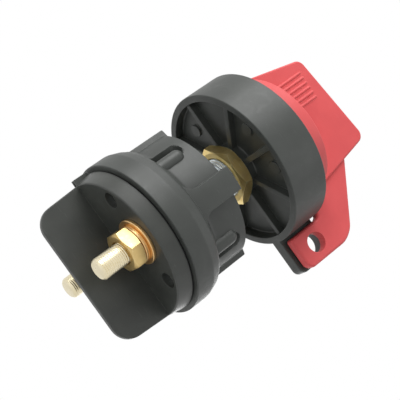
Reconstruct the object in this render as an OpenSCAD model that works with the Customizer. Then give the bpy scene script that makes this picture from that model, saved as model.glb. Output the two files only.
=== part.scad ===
// Lockable battery isolator switch for a panel.
// The origin is at the centre of the bezel's rim, where it meets the panel.
// +Z runs along the shaft towards the knob, and +X out through the padlock lugs.

/* [Bezel] */
// Outer diameter of the bezel
bezel_d = 80; // [72:1:96]
// Height of the bezel above the panel
bezel_h = 21; // [18:0.5:26]
// Wall of the bezel
bezel_wall = 3.5; // [2.5:0.1:4.5]
// Depth of the recess on the panel side
recess_depth = 5; // [4:0.5:6]
// Thickness of the web that the neck passes through
web_t = 3; // [2.5:0.5:3.5]
// Thickness of the top plate under the knob
top_plate_t = 3; // [2:0.5:3.5]
// Diameter of the mouth in the top plate
mouth_d = 56; // [50:1:60]
// Thickness of a rib in the recess
rib_t = 2.6; // [1.6:0.1:3.6]
// How far the ribs stay behind the rim
rib_relief = 1.5; // [0.8:0.1:2]
// How far the hub stays behind the rim
hub_relief = 0.4; // [0.3:0.1:1]
// Number of ribs
rib_n = 8; // [4:1:12]
// Wall of the hub around the neck
hub_wall = 2.4; // [1.5:0.1:3.5]
// Diameter of a fixing boss in the recess
fixing_boss_d = 6.2; // [4:0.1:7]
// Radius of the circle of fixing bosses
fixing_boss_r = 27.5; // [22:0.5:30]

/* [Padlock lugs] */
// Reach of both lugs beyond the bezel's side
lug_w = 18.8; // [16:0.2:24]
// Diameter of the padlock hole in the knob's lug
lock_hole_d = 9.5; // [6:0.5:11]
// Diameter of the wider hole behind it in the fixed lug
fixed_hole_d = 12; // [8:0.5:13]
// Distance of the padlock hole from the bezel's side
lock_hole_out = 10; // [9:0.5:11]
// Height of the padlock hole above the panel
lock_hole_z = 13; // [11:0.5:14]
// Thickness of the fixed lug
fixed_lug_t = 6.5; // [4:0.1:8]
// Thickness of the knob's lug
knob_lug_t = 5.2; // [4:0.1:7]
// Gap between the two lugs
lug_gap = 0.5; // [0.3:0.1:1]
// Height of the bottom edge of the knob's lug above the panel
knob_lug_z = 1.8; // [1:0.1:4]
// Gap between the knob's lug and the bezel's wall
lug_wall_gap = 1.6; // [1:0.1:2.5]

/* [Knob] */
// Diameter of the knob's disc at the bezel
knob_d = 66; // [62:1:72]
// Diameter of the knob's disc at its upper edge
knob_top_d = 62; // [58:1:66]
// Height of the knob's disc
knob_disc_h = 11.5; // [9:0.5:15]
// Gap between the bezel and the knob
knob_gap = 0.3; // [0.2:0.1:0.6]
// Wall of the knob's disc
knob_wall = 3; // [2:0.5:4]
// Thickness of the handle
handle_t = 13; // [11.5:0.5:18]
// Width of the handle where it leaves the disc
handle_base_w = 62; // [56:1:64]
// Width of the handle near its top
handle_top_w = 48.8; // [40:0.2:56]
// Height of the middle of the handle's top above the panel
handle_top_z = 67.7; // [60:0.1:80]
// Slope of the handle's top, in degrees
handle_slope = 6.2; // [0:0.1:10]
// Radius of the handle's top corners
handle_corner_r = 4.5; // [2:0.5:7]
// Width of a grip ridge
ridge_w = 1.4; // [1:0.1:1.8]
// Spacing of the grip ridges
ridge_pitch = 2.75; // [2.2:0.05:3.2]
// Number of grip ridges on a face
ridge_n = 6; // [3:1:7]
// How far a grip ridge stands out
ridge_h = 0.5; // [0.3:0.1:0.8]

/* [Body] */
// Distance from the panel to the top of the body
panel_gap = 22; // [18:0.5:26]
// Diameter of the body between its pads
core_d = 58; // [54:0.5:60]
// Wall of the body between its pads
core_wall = 3.1; // [2:0.1:3.4]
// Thickness of the body's top
body_top_t = 2.8; // [2:0.1:3.5]
// Diameter across the front and back pads
pad_d = 66.4; // [62:0.2:70]
// Diameter across the side pads
side_pad_d = 63.8; // [60:0.2:66]
// Width of a side pad
side_pad_w = 20; // [12:0.5:24]
// Diameter across the keys on the side pads
pad_key_d = 68; // [65:0.2:70]
// Width of a key on a side pad, at its outer face
pad_key_w = 7; // [4:0.5:9]
// Height of a key on a side pad
pad_key_h = 22; // [10:0.5:23]
// Width of a front or back pad
pad_w = 11.6; // [8:0.2:15]
// How far a pad stands above the body's top
pad_rise = 2; // [0:0.5:3]
// Diameter of the collar
collar_d = 76.2; // [74:0.2:92]
// Height of the collar's straight side
collar_h = 9.5; // [6:0.5:12]
// Height of the collar's shoulder
shoulder_h = 9.5; // [6:0.5:11]
// Wall of the collar
collar_wall = 5.9; // [4.5:0.1:6.5]
// Height of the whole body
body_h = 37.7; // [36:0.1:46]

/* [Base] */
// How far the base is set in from the collar's side
base_step = 2.3; // [1.8:0.1:3]
// Draft of the base's rim
base_draft = 1.4; // [0.5:0.1:2]
// How far the base's two key fins stand out
base_key_out = 1.4; // [0.3:0.1:1.6]
// Distance between the outer sides of the key fins
key_w = 3; // [2.6:0.1:4]
// Height of the base's rim
base_h = 7.7; // [6.5:0.1:10]
// Depth of the base's spigot inside the body
spigot_h = 4.5; // [3.5:0.5:5]
// Thickness of the gasket
gasket_t = 0.8; // [0.5:0.1:1.2]
// Height of the partition between the studs
partition_h = 25.1; // [20:0.1:32]
// Thickness of the partition
partition_t = 3; // [2:0.1:4]
// Radius of the partition's corners
partition_corner_r = 9; // [4:0.5:11]
// How much narrower the partition is at its end, on each side
partition_draft = 1.5; // [0.5:0.1:2]
// Radius of the circle of base screws
screw_r = 29; // [28.5:0.1:29.2]
// Diameter of a base screw
screw_d = 4; // [3:0.5:4]
// Diameter of a base screw's head
screw_head_d = 7; // [6:0.1:7.2]
// Diameter of a counterbore for a screw head
counterbore_d = 7.5; // [7.3:0.1:8]
// Depth of a counterbore
counterbore_h = 6; // [4:0.5:6.2]

/* [Terminals] */
// Thread diameter of a terminal stud
stud_d = 10; // [8:0.5:12]
// Distance between the studs' axes
stud_spacing = 39.6; // [38.4:0.2:41]
// Length of a stud beyond the base's end face
stud_out = 22.8; // [19.5:0.1:24]
// How much thinner a stud is where the nut and the base hold it
stud_relief = 0.4; // [0.3:0.1:0.8]
// Width of a stud's square head
stud_head_w = 14; // [12:0.5:15]
// Thickness of a stud's head
stud_head_h = 5; // [3.5:0.5:5.5]
// Outer diameter of a flat washer
washer_d = 21.6; // [18:0.2:23]
// Thickness of a flat washer
washer_t = 1.6; // [1:0.1:2]
// Outer diameter of a spring washer
spring_washer_d = 18; // [16:0.2:19]
// Thickness of a spring washer
spring_washer_t = 1.8; // [1:0.1:2.2]
// Width across the flats of a terminal nut
terminal_nut_af = 17; // [16:0.5:19]
// Height of a terminal nut
terminal_nut_h = 6.5; // [6:0.1:9]

/* [Neck] */
// Thread diameter of the neck
neck_d = 20; // [18:0.5:24]
// Length of the neck beyond the bezel's web
neck_out = 7.5; // [7:0.5:9]
// Width of the neck's flange
flange_w = 3; // [2:0.5:3.5]
// Thickness of the neck's flange
flange_t = 2.6; // [2:0.1:3]
// Width across the flats of the panel nut
panel_nut_af = 27.2; // [26:0.1:30]
// Height of the panel nut
panel_nut_h = 6.6; // [4:0.1:8]
// Width across the flats of the front nut
front_nut_af = 27; // [26:0.5:30]
// Height of the front nut
front_nut_h = 5; // [4:0.5:6]
// Thickness of the lock washer
lock_washer_t = 1; // [0.6:0.1:1.4]

/* [Shaft and rotor] */
// Diameter of the shaft
shaft_d = 10; // [9:0.5:12]
// Diameter of the shaft inside the knob
knob_end_d = 8; // [7:0.5:8]
// Width across the flats of the shaft inside the knob
knob_end_flat = 6.4; // [5.5:0.1:7]
// Diameter of the rotor carrier
carrier_d = 47; // [46:0.5:49]
// Radius of the circle of detent balls
detent_r = 18.5; // [18:0.1:19]
// Diameter of a detent ball
ball_d = 5; // [4:0.5:5]
// Thickness of the index plate
index_t = 1.6; // [1:0.1:2]
// Width of the contact bridge
bridge_w = 12; // [10:0.5:14]
// Thickness of the contact bridge
bridge_t = 4; // [3:0.5:4]
// Diameter across the ends of the contact bridge
bridge_d = 47.2; // [46:0.2:48]
// Diameter of a contact face
contact_d = 7; // [5:0.5:7]
// Thickness of a contact face
contact_t = 0.8; // [0.5:0.1:1]
// Diameter of the drive pin
drive_pin_d = 3; // [2.5:0.5:3.5]

/* [Fits] */
// Radial clearance of the shaft in the neck
running_gap = 0.15; // [0.1:0.05:0.3]
// Radial clearance around a thread in a plain hole
thread_gap = 0.1; // [0.05:0.05:0.3]
// Clearance between parts that slide into each other
fit_gap = 0.2; // [0.1:0.05:0.4]
// Clearance at the ends of the knob's travel
stop_gap = 0.3; // [0.2:0.05:0.5]

/* [Hidden] */
$fn = 96;
eps = 0.01;

// Angles run from +X towards -Y.
rib_angles = [for (i = [0:rib_n - 1]) i*360/rib_n];
fixing_boss_angles = [70, 115, 205, 295];
terminal_nut_turn = 33;
quarter_angles = [45, 135, 225, 315];
pocket_angles = [39, 141, 219, 321];
// Turn of the body's pads and ribs about the axis
body_turn = 3.3;
travel = 90;

bezel_r = bezel_d/2;
lug_reach = bezel_r + lug_w;
lock_hole_x = bezel_r + lock_hole_out;
hub_d = neck_d + 2*thread_gap + 2*hub_wall;
web_z = recess_depth;
web_top_z = web_z + web_t;
knob_z = bezel_h + knob_gap;
disc_top_z = knob_z + knob_disc_h;

body_top_z = -panel_gap;
body_end_z = body_top_z - body_h;
pad_top_z = body_top_z + pad_rise;
collar_top_z = body_end_z + collar_h;
shoulder_top_z = collar_top_z + shoulder_h;
collar_r = collar_d/2;
core_r = core_d/2;
core_bore_r = core_r - core_wall;
collar_bore_r = collar_r - collar_wall;
spigot_r = collar_bore_r - fit_gap;
base_d = collar_d - 2*base_step;
base_end_d = base_d - 2*base_draft;
collar_bore_top_z = collar_top_z + 5.5;
screw_boss_r = 4.4;
screw_rib_r = 3.5;
screw_rib_top_z = body_top_z - 6;
// A shallow pocket beside each screw rib
pocket_r = 3.4;
pocket_floor_r = 27.8;
pocket_high_z = screw_rib_top_z + 1.6 - pocket_r;
pocket_low_z = collar_bore_top_z + 1.7 + pocket_r;

rim_z = body_end_z - gasket_t;
base_end_z = rim_z - base_h;
floor_z = rim_z + spigot_h;
stud_y = stud_spacing/2;
stud_head_z = floor_z + stud_head_h;
fixed_contact_z = stud_head_z + contact_t;
washer_z = base_end_z - washer_t;
spring_washer_z = washer_z - spring_washer_t;
nut_end_z = spring_washer_z - terminal_nut_h;
stud_end_z = base_end_z - stud_out;

bridge_contact_z = fixed_contact_z + fit_gap;
bridge_z = bridge_contact_z + contact_t;
bridge_top_z = bridge_z + bridge_t;
slot_top_z = bridge_top_z + 0.6;
spring_pocket_z = slot_top_z + 4;
shaft_end_z = spring_pocket_z + 1.6;
index_z = body_top_z - body_top_t - index_t;
flange_z = index_z - flange_t;
flange_d = neck_d + 2*flange_w;
thrust_washer_t = 0.8;
thrust_z = flange_z - running_gap - thrust_washer_t;
ring_t = 1.2;
ring_z = thrust_z - ring_t;
carrier_rim_z = index_z - 2.1;
carrier_hub_z = ring_z - 0.5;
ball_z = index_z - running_gap - ball_d/2;
neck_end_z = web_top_z + neck_out;
shaft_step_z = neck_end_z + 0.5;
shaft_top_z = disc_top_z + 3.2;
screw_seat_z = shaft_top_z + 2.3;
drive_pin_z = (carrier_hub_z + shaft_end_z)/2;
seal_z = web_z;
seal_r = 0.68;

front_y = -handle_t/2;
fixed_lug_y = 0.7;
knob_lug_y = fixed_lug_y - lug_gap - knob_lug_t;
lug_inner_x = bezel_r + lug_wall_gap;

// Points of an outline whose corners are rounded. corners holds [x, y, radius].
function unit(v) = v/norm(v);
function corner_arc(before, at, after, r, steps = 8) =
    let (a = unit(before - at), b = unit(after - at),
         half = acos(max(-1, min(1, a*b)))/2,
         centre = at + unit(a + b)*r/sin(half),
         start = at + a*r/tan(half) - centre,
         finish = at + b*r/tan(half) - centre,
         turn = start.x*finish.y - start.y*finish.x > 0 ? 1 : -1,
         sweep = 180 - 2*half)
    [for (i = [0:steps])
        let (t = turn*sweep*i/steps)
        centre + [start.x*cos(t) - start.y*sin(t), start.x*sin(t) + start.y*cos(t)]];
function point(c) = [c.x, c.y];
function rounded(corners) =
    let (n = len(corners))
    [for (i = [0:n - 1])
        let (c = corners[i])
        each c.z <= 0 ? [point(c)]
            : corner_arc(point(corners[(i + n - 1) % n]), point(c), point(corners[(i + 1) % n]), c.z)];

// A plate in the X-Z plane, from y0 to y1.
module upright(outline, y0, y1)
    translate([0, y1, 0]) rotate([90, 0, 0]) linear_extrude(y1 - y0) polygon(outline);
module tube(d, bore, z0, z1)
    difference() {
        translate([0, 0, z0]) cylinder(d = d, h = z1 - z0);
        translate([0, 0, z0 - 1]) cylinder(d = bore, h = z1 - z0 + 2);
    }
module rod(d, z0, z1) translate([0, 0, z0]) cylinder(d = d, h = z1 - z0);
module around(angles) for (a = angles) rotate([0, 0, -a]) children();
module at_studs() for (side = [-1, 1]) translate([0, side*stud_y, 0]) children();

// A hexagon nut whose corners are turned down at both ends.
module nut(af, h, bore) {
    chamfer = af*0.045;
    across = af/cos(30);
    difference() {
        intersection() {
            cylinder(d = across, h = h, $fn = 6);
            union() {
                cylinder(d1 = across - 2*chamfer/tan(30), d2 = across, h = chamfer);
                translate([0, 0, chamfer]) cylinder(d = across, h = h - 2*chamfer);
                translate([0, 0, h - chamfer])
                    cylinder(d1 = across, d2 = across - 2*chamfer/tan(30), h = chamfer);
            }
        }
        translate([0, 0, -1]) cylinder(d = bore, h = h + 2);
    }
}

// A coil spring from z0 to z1, swept ring by ring.
module coil(mean_r, wire_d, z0, z1, turns, sides = 8, per_turn = 14) {
    count = turns*per_turn;
    rise = z1 - z0 - wire_d;
    function ring_point(i, j) =
        let (a = 360*i/per_turn, b = 360*j/sides, r = mean_r + wire_d/2*cos(b))
        [r*cos(a), r*sin(a), z0 + wire_d/2 + rise*i/count + wire_d/2*sin(b)];
    points = [for (i = [0:count], j = [0:sides - 1]) ring_point(i, j)];
    walls = [for (i = [0:count - 1], j = [0:sides - 1])
        let (k = (j + 1) % sides)
        [i*sides + j, (i + 1)*sides + j, (i + 1)*sides + k, i*sides + k]];
    ends = [[for (j = [0:sides - 1]) j], [for (j = [sides - 1:-1:0]) count*sides + j]];
    polyhedron(points, concat(walls, ends), convexity = 10);
}

// ---- Fixed parts ----

module pad(d, w, top_z = pad_top_z)
    intersection() {
        translate([0, -w/2, shoulder_top_z - shoulder_h/2])
            cube([d/2, w, top_z - shoulder_top_z + shoulder_h/2]);
        rod(d, body_end_z, top_z);
    }

module rib_pocket()
    translate([pocket_floor_r, 0, 0]) {
        for (z = [pocket_low_z, pocket_high_z])
            translate([0, 0, z]) rotate([0, 90, 0]) cylinder(r = pocket_r, h = 12);
        translate([0, -pocket_r, pocket_low_z]) cube([12, 2*pocket_r, pocket_high_z - pocket_low_z]);
    }

module body_outside() {
    difference() {
        union() {
            rotate_extrude()
                polygon([[0, body_top_z], [core_r, body_top_z], [core_r, shoulder_top_z],
                         [collar_r - 1.7, shoulder_top_z - 4], [collar_r, collar_top_z],
                         [collar_r, body_end_z], [0, body_end_z]]);
            rotate([0, 0, body_turn]) around([0, 180]) pad(side_pad_d, side_pad_w, body_top_z);
        }
        rotate([0, 0, body_turn]) around(pocket_angles) rib_pocket();
    }
    rotate([0, 0, body_turn]) {
        around([90, 270]) pad(pad_d, pad_w);
        around([0, 180]) side_key();
        around(quarter_angles) translate([screw_r, 0, 0]) {
            rod(2*screw_rib_r, collar_top_z, screw_rib_top_z - screw_rib_r);
            translate([0, 0, screw_rib_top_z - screw_rib_r]) sphere(r = screw_rib_r, $fn = 48);
        }
    }
}

// A key with sloping sides on each side pad
module side_key()
    intersection() {
        translate([0, 0, pad_top_z - pad_key_h]) linear_extrude(pad_key_h)
            polygon([[core_r - 1, -pad_w/2], [collar_r - 1, -pad_key_w/2],
                     [collar_r - 1, pad_key_w/2], [core_r - 1, pad_w/2]]);
        rod(pad_key_d, body_end_z, pad_top_z);
    }

module body_shell() color("#3a3c3b")
    difference() {
        union() {
            difference() {
                body_outside();
                rod(2*core_bore_r, body_end_z - 1, body_top_z - body_top_t);
                rod(2*collar_bore_r, body_end_z - 1, collar_bore_top_z);
                // The pads are open above the body's top, clear of the nut's spanner.
                rod(core_d - 2, body_top_z, pad_top_z + 1);
            }
            around(quarter_angles) translate([screw_r, 0, 0])
                rod(2*screw_boss_r, floor_z + gasket_t/2, collar_bore_top_z + 1);
        }
        rod(neck_d + 2*thread_gap, body_top_z - body_top_t - 1, body_top_z + 1);
        around(quarter_angles) translate([screw_r, 0, 0])
            rod(screw_d + 2*thread_gap, floor_z - 1, collar_bore_top_z + 4);
    }

module partition()
    upright(rounded([
        [-base_end_d/2, base_end_z + 1, 0],
        [-base_end_d/2 + partition_draft, base_end_z - partition_h, partition_corner_r],
        [base_end_d/2 - partition_draft, base_end_z - partition_h, partition_corner_r],
        [base_end_d/2, base_end_z + 1, 0]]),
        -partition_t/2, partition_t/2);

module terminal_base() color("#353736")
    difference() {
        union() {
            translate([0, 0, base_end_z]) cylinder(d1 = base_end_d, d2 = base_d, h = base_h);
            rod(2*spigot_r, rim_z - eps, floor_z);
            partition();
            // Two fins that line the base up with the body
            for (y = [-key_w/2, key_w/2 - 1])
                translate([-base_d/2 - base_key_out, y, base_end_z]) cube([4, 1, base_h]);
            // Guides that stop the studs' heads from turning
            at_studs() for (side = [-1, 1])
                translate([side*(stud_head_w/2 + fit_gap + 1) - 1, -stud_head_w/2, floor_z - eps])
                    cube([2, stud_head_w, stud_head_h - 2]);
        }
        at_studs() rod(stud_d + 2*thread_gap, base_end_z - 1, floor_z + 1);
        around(quarter_angles) translate([screw_r, 0, 0]) {
            rod(counterbore_d, base_end_z - 1, base_end_z + counterbore_h);
            rod(screw_d + 2*thread_gap, base_end_z, floor_z + 1);
        }
    }

module base_gasket() color("#1d1d1d")
    tube(base_d - 1, 2*spigot_r + 2*fit_gap, rim_z, body_end_z);

module base_screws() color("#8d8f90")
    around(quarter_angles) translate([screw_r, 0, base_end_z + counterbore_h]) {
        difference() {
            translate([0, 0, -2.6]) cylinder(d = screw_head_d, h = 2.6);
            translate([0, 0, -2.7]) cylinder(d = screw_d*0.8, h = 1.6, $fn = 6);
        }
        cylinder(d = screw_d, h = 19);
    }

module terminal_stud() {
    // The thread is full size on the free end, and relieved where the nut and the base hold it.
    rod(stud_d, stud_end_z + 1, nut_end_z - 0.2);
    rod(stud_d - stud_relief, nut_end_z - 0.3, floor_z + eps);
    translate([0, 0, stud_end_z]) cylinder(d1 = stud_d - 2, d2 = stud_d, h = 1);
    translate([-stud_head_w/2, -stud_head_w/2, floor_z]) cube([stud_head_w, stud_head_w, stud_head_h]);
}
module front_terminal_stud() color("#d8c79a") translate([0, -stud_y, 0]) terminal_stud();
module rear_terminal_stud() color("#d8c79a") translate([0, stud_y, 0]) terminal_stud();
module fixed_contacts() color("#c9c9c4") at_studs() rod(contact_d, stud_head_z, fixed_contact_z);

module terminal_washers() color("#b9722f")
    at_studs() tube(washer_d, stud_d + 4*thread_gap, washer_z, base_end_z);
module spring_washers() color("#c08235")
    at_studs() difference() {
        tube(spring_washer_d, stud_d + 4*thread_gap, spring_washer_z, washer_z);
        // The split
        rotate([0, 0, 200]) translate([0, -0.4, spring_washer_z - 1])
            cube([spring_washer_d, 0.8, spring_washer_t + 2]);
    }
module terminal_nuts() color("#c9a24a")
    at_studs() translate([0, 0, nut_end_z])
        rotate([0, 0, terminal_nut_turn]) nut(terminal_nut_af, terminal_nut_h, stud_d + 2*thread_gap);

module threaded_neck() color("#c4ccd2")
    difference() {
        union() {
            rod(neck_d, index_z - eps, neck_end_z);
            rod(flange_d, flange_z, index_z);
        }
        rod(shaft_d + 2*running_gap, flange_z - 1, neck_end_z + 1);
    }

module panel_nut() color("#b39a4f")
    translate([0, 0, hub_relief - panel_nut_h])
        nut(panel_nut_af, panel_nut_h, neck_d + 2*thread_gap);

module lug_hole(d, y0, y1)
    translate([lock_hole_x, y1, lock_hole_z]) rotate([90, 0, 0]) cylinder(d = d, h = y1 - y0);

module stop_block(a, r0, r1, z0, z1, width)
    rotate([0, 0, a]) translate([r0, -width/2, z0]) cube([r1 - r0, width, z1 - z0]);

stop_z = bezel_h - top_plate_t;
tongue_w = 8;
tongue_r0 = mouth_d/2 - 5;
tongue_r1 = mouth_d/2 - 1;
// Half of the angle that the tongue and a block take up, measured at the tongue's inner side
stop_half = asin((tongue_w + 6 + 2*stop_gap)/2/tongue_r0);

module bezel() color("#3d3f3e")
    difference() {
        union() {
            difference() {
                rod(bezel_d, 0, bezel_h);
                rod(bezel_d - 2*bezel_wall, -1, web_z);
                rod(bezel_d - 2*bezel_wall, web_top_z, bezel_h - top_plate_t);
                rod(mouth_d, bezel_h - top_plate_t - 1, bezel_h + 1);
            }
            rod(hub_d, hub_relief, web_z + eps);
            around(rib_angles) translate([hub_d/2 - 1, -rib_t/2, rib_relief])
                cube([bezel_r - bezel_wall - hub_d/2 + 2, rib_t, web_z - rib_relief + eps]);
            around(fixing_boss_angles) translate([fixing_boss_r, 0, 0])
                rod(fixing_boss_d, web_z - 1, web_z + eps);
            difference() {
                upright(rounded([
                    [bezel_r - bezel_wall/2, 0, 0],
                    [lug_reach, 0, 3.5],
                    [lug_reach, bezel_h, 5],
                    [bezel_r - bezel_wall/2, bezel_h, 0]]),
                    fixed_lug_y, fixed_lug_y + fixed_lug_t);
                lug_hole(fixed_hole_d, fixed_lug_y - 1, fixed_lug_y + fixed_lug_t + 1);
            }
            // Stops for the knob's tongue
            for (a = [180 + stop_half, 180 - travel - stop_half])
                stop_block(a, tongue_r0, mouth_d/2 + 1, stop_z, bezel_h, 6);
        }
        rod(neck_d + 2*thread_gap, -1, web_top_z + 1);
    }

module lock_washer() color("#9b9fa1")
    difference() {
        union() {
            tube(neck_d + 8, neck_d + 4*thread_gap, web_top_z, web_top_z + lock_washer_t);
            around([for (i = [0:11]) 30*i]) translate([neck_d/2 + 3, -1, web_top_z])
                cube([2.6, 2, lock_washer_t]);
        }
    }

module front_nut() color("#b39a4f")
    translate([0, 0, web_top_z + lock_washer_t])
        nut(front_nut_af, front_nut_h, neck_d + 2*thread_gap);

module index_plate() color("#a9adb0")
    difference() {
        tube(2*core_bore_r - 2*fit_gap, neck_d + 2*thread_gap, index_z, body_top_z - body_top_t);
        around([0, 90, 180, 270]) translate([detent_r, 0, 0])
            rod(ball_d - 0.4, index_z - 1, body_top_z);
    }

// ---- Turning parts ----

function handle_edge(x) = handle_top_z + x*tan(handle_slope);
function handle_half(z) =
    (handle_base_w + (handle_top_w - handle_base_w)*(z - disc_top_z)/(handle_top_z - disc_top_z))/2;

module handle()
    upright(rounded([
        [-handle_base_w/2, disc_top_z - 1, 0],
        [-handle_top_w/2, handle_edge(-handle_top_w/2), handle_corner_r],
        [handle_top_w/2, handle_edge(handle_top_w/2), handle_corner_r],
        [handle_base_w/2, disc_top_z - 1, 0]]),
        -handle_t/2, handle_t/2);

// Grip ridges on the front at -X, and on the back at +X
module grip_ridges()
    for (turn = [0, 180]) rotate([0, 0, turn])
        for (i = [0:ridge_n - 1])
            translate([-handle_top_w/2 + 5.4 + i*ridge_pitch, front_y, disc_top_z + 11.5])
                rotate([0, 0, 45]) translate([-ridge_w/2, -ridge_w/2, 0])
                    cube([ridge_w, ridge_w, handle_top_z - disc_top_z - 18]);

module knob_lug()
    difference() {
        upright(rounded([
            [knob_top_d/2 - 4, disc_top_z, 0],
            [handle_half(54) - 3, 55.7, 0],
            [lug_reach - 3.2, 33.6, 3],
            [lug_reach, 27.5, 5],
            [lug_reach - 0.2, knob_lug_z, 4],
            [lug_inner_x, knob_lug_z, 1.5],
            [lug_inner_x, knob_z + 1, 1],
            [knob_top_d/2 - 4, knob_z + 1, 0]]),
            knob_lug_y, knob_lug_y + knob_lug_t);
        lug_hole(lock_hole_d, knob_lug_y - 1, knob_lug_y + knob_lug_t + 1);
    }

module drive_section(d, flat, z0, z1)
    intersection() {
        rod(d, z0, z1);
        translate([-flat/2, -d, z0]) cube([flat, 2*d, z1 - z0]);
    }

module knob() color("#c8242c")
    difference() {
        union() {
            difference() {
                translate([0, 0, knob_z]) cylinder(d1 = knob_d, d2 = knob_top_d, h = knob_disc_h);
                rod(knob_top_d - 2*knob_wall, knob_z - 1, disc_top_z - knob_wall);
            }
            rod(2*knob_end_d + 4, shaft_step_z + 0.1, disc_top_z);
            handle();
            grip_ridges();
            knob_lug();
            // Tongue that meets the bezel's stops
            stop_block(180, tongue_r0, tongue_r1, stop_z + 0.6, disc_top_z - knob_wall, tongue_w);
            stop_block(180, tongue_r1 - 1, knob_top_d/2 - knob_wall + 0.5, knob_z + 0.4,
                disc_top_z - knob_wall, tongue_w);
        }
        drive_section(knob_end_d + 2*running_gap, knob_end_flat + 2*running_gap,
            shaft_step_z - 1, shaft_top_z + 0.1);
        rod(screw_d + 2*fit_gap, shaft_top_z - 1, screw_seat_z + 1);
        rod(screw_head_d + 1.3, screw_seat_z, handle_top_z + 10);
    }

module knob_cap() color("#c8242c")
    rod(screw_head_d + 1.3 - 2*thread_gap, handle_top_z - 6.5, handle_top_z - 1.2);

module knob_screw() color("#9b9fa1") {
    difference() {
        rod(screw_head_d, screw_seat_z, screw_seat_z + 3);
        translate([0, 0, screw_seat_z + 1.4]) cylinder(d = screw_d*0.85, h = 2, $fn = 6);
    }
    rod(screw_d, screw_seat_z - 13, screw_seat_z + eps);
}

module shaft() color("#aeb2b5")
    difference() {
        union() {
            rod(shaft_d, shaft_end_z, shaft_step_z);
            drive_section(knob_end_d, knob_end_flat, shaft_step_z - eps, shaft_top_z);
        }
        rod(screw_d + 2*thread_gap, screw_seat_z - 14, shaft_top_z + 1);
        tube(shaft_d + 4, shaft_d - 2.5, seal_z - 0.9, seal_z + 0.9);
        tube(shaft_d + 4, shaft_d - 1.6, ring_z - running_gap, ring_z + ring_t);
        translate([-shaft_d, 0, drive_pin_z]) rotate([0, 90, 0])
            cylinder(d = drive_pin_d + 2*thread_gap, h = 2*shaft_d);
    }

module shaft_seal() color("#1a1a1a")
    translate([0, 0, seal_z]) rotate_extrude()
        translate([shaft_d/2 - 0.55, 0]) circle(r = seal_r, $fn = 32);

module thrust_washer() color("#e4e0d2")
    tube(shaft_d + 7, shaft_d + 2*running_gap, thrust_z, thrust_z + thrust_washer_t);

module retaining_ring() color("#8d8f90")
    difference() {
        tube(shaft_d + 6, shaft_d - 1.4, ring_z, ring_z + ring_t - thread_gap);
        translate([0, -1.6, ring_z - 1]) cube([shaft_d, 3.2, ring_t + 2]);
    }

module rotor_carrier() color("#e3ded0")
    difference() {
        rod(carrier_d, fixed_contact_z + 0.6, carrier_rim_z);
        rod(flange_d + 2, carrier_hub_z, carrier_rim_z + 1);
        rod(shaft_d + 2*thread_gap, shaft_end_z - 0.1, carrier_hub_z + 1);
        rod(15, slot_top_z - 1, spring_pocket_z);
        translate([-carrier_d, -bridge_w/2 - fit_gap, fixed_contact_z - 1])
            cube([2*carrier_d, bridge_w + 2*fit_gap, slot_top_z - fixed_contact_z + 1]);
        for (side = [-1, 1]) translate([side*detent_r, 0, 0])
            rod(ball_d + 2*running_gap, shaft_end_z, carrier_rim_z + 1);
        translate([-carrier_d, 0, drive_pin_z]) rotate([0, 90, 0])
            cylinder(d = drive_pin_d + 2*thread_gap, h = carrier_d + 13);
    }

module drive_pin() color("#8d8f90")
    translate([-12.5, 0, drive_pin_z]) rotate([0, 90, 0]) cylinder(d = drive_pin_d, h = 25);

module contact_bridge() color("#b8693a")
    intersection() {
        rod(bridge_d, bridge_z, bridge_top_z);
        translate([-bridge_d, -bridge_w/2, bridge_z]) cube([2*bridge_d, bridge_w, bridge_t]);
    }

module bridge_contacts() color("#c9c9c4")
    for (side = [-1, 1]) translate([side*stud_y, 0, 0]) rod(contact_d, bridge_contact_z, bridge_z);

module contact_spring() color("#9b9fa1")
    coil(5.8, 1.3, bridge_top_z + 0.05, spring_pocket_z - 0.05, 2);

module detent_balls() color("#b8bcbf")
    for (side = [-1, 1]) translate([side*detent_r, 0, ball_z]) sphere(d = ball_d, $fn = 48);

module detent_springs() color("#9b9fa1")
    for (side = [-1, 1]) translate([side*detent_r, 0, 0])
        coil(1.85, 0.7, shaft_end_z + 0.05, ball_z - ball_d/2 - 0.05, 5, 8, 12);

body_shell();
terminal_base();
base_gasket();
base_screws();
front_terminal_stud();
rear_terminal_stud();
fixed_contacts();
terminal_washers();
spring_washers();
terminal_nuts();
threaded_neck();
panel_nut();
bezel();
lock_washer();
front_nut();
index_plate();
knob();
knob_cap();
knob_screw();
shaft();
shaft_seal();
thrust_washer();
retaining_ring();
rotor_carrier();
drive_pin();
contact_bridge();
bridge_contacts();
contact_spring();
detent_balls();
detent_springs();
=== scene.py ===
import math

import bmesh
import bpy
from mathutils import Matrix, Vector


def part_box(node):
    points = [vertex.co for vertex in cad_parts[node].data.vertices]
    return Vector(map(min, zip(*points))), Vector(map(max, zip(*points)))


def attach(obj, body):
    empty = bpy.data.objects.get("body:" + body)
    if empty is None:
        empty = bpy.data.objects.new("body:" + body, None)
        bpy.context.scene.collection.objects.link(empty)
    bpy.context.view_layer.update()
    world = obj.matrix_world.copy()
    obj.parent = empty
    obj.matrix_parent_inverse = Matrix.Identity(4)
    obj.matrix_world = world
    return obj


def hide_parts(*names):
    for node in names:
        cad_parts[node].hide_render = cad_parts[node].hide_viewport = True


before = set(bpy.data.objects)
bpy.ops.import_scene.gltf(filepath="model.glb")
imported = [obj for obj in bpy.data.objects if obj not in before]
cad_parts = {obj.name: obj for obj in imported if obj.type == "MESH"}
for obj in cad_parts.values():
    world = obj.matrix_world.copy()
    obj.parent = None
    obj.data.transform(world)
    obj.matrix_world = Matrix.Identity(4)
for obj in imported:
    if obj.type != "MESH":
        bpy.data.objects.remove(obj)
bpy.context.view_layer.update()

# Sizes are in millimetres and angles in degrees until a piece is finished.
# Angles about the axis run from +X towards -Y, as in the part's source.
MM = 0.001
FULL_TURN = 2 * math.pi
QUARTERS = (45, 135, 225, 315)


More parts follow.
